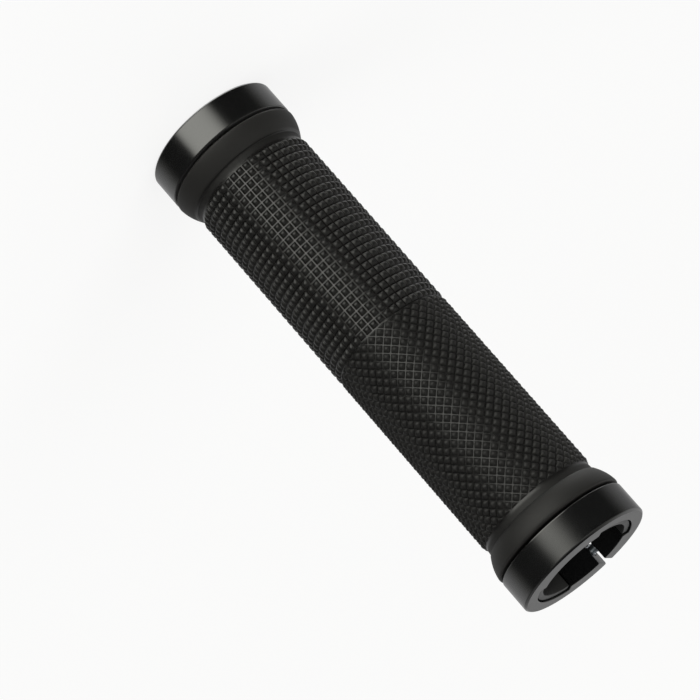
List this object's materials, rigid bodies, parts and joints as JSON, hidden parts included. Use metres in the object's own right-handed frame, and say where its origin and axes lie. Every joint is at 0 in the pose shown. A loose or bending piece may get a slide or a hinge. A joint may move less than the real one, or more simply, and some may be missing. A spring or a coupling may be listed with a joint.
{
  "type": "handlebar grip",
  "caption": "Bicycle handlebar grip: a knurled rubber sleeve on a hard core, locked to the bar by a slit clamp ring with a cross screw at either end.",
  "frame": {"origin": "centre of the inboard clamp ring's end face, on which the grip stands", "axes": "+Z along the handlebar bore towards the outboard ring; the rings' slits and screw heads face the +Y side"},
  "size_m": [0.0328, 0.0328, 0.13],
  "materials": {
    "hard_plastic": "moulded black nylon, satin",
    "grip_rubber": "matt black moulded rubber",
    "black_anodised": "turned aluminium, glossy black anodised",
    "bright_steel": "plated steel"
  },
  "bodies": {
    "root": {"core_sleeve": "hard_plastic", "rubber_sleeve": "grip_rubber", "inboard_clamp_ring": "black_anodised", "outboard_clamp_ring": "black_anodised", "inboard_clamp_screw": "bright_steel", "outboard_clamp_screw": "bright_steel"}
  },
  "joints": []
}
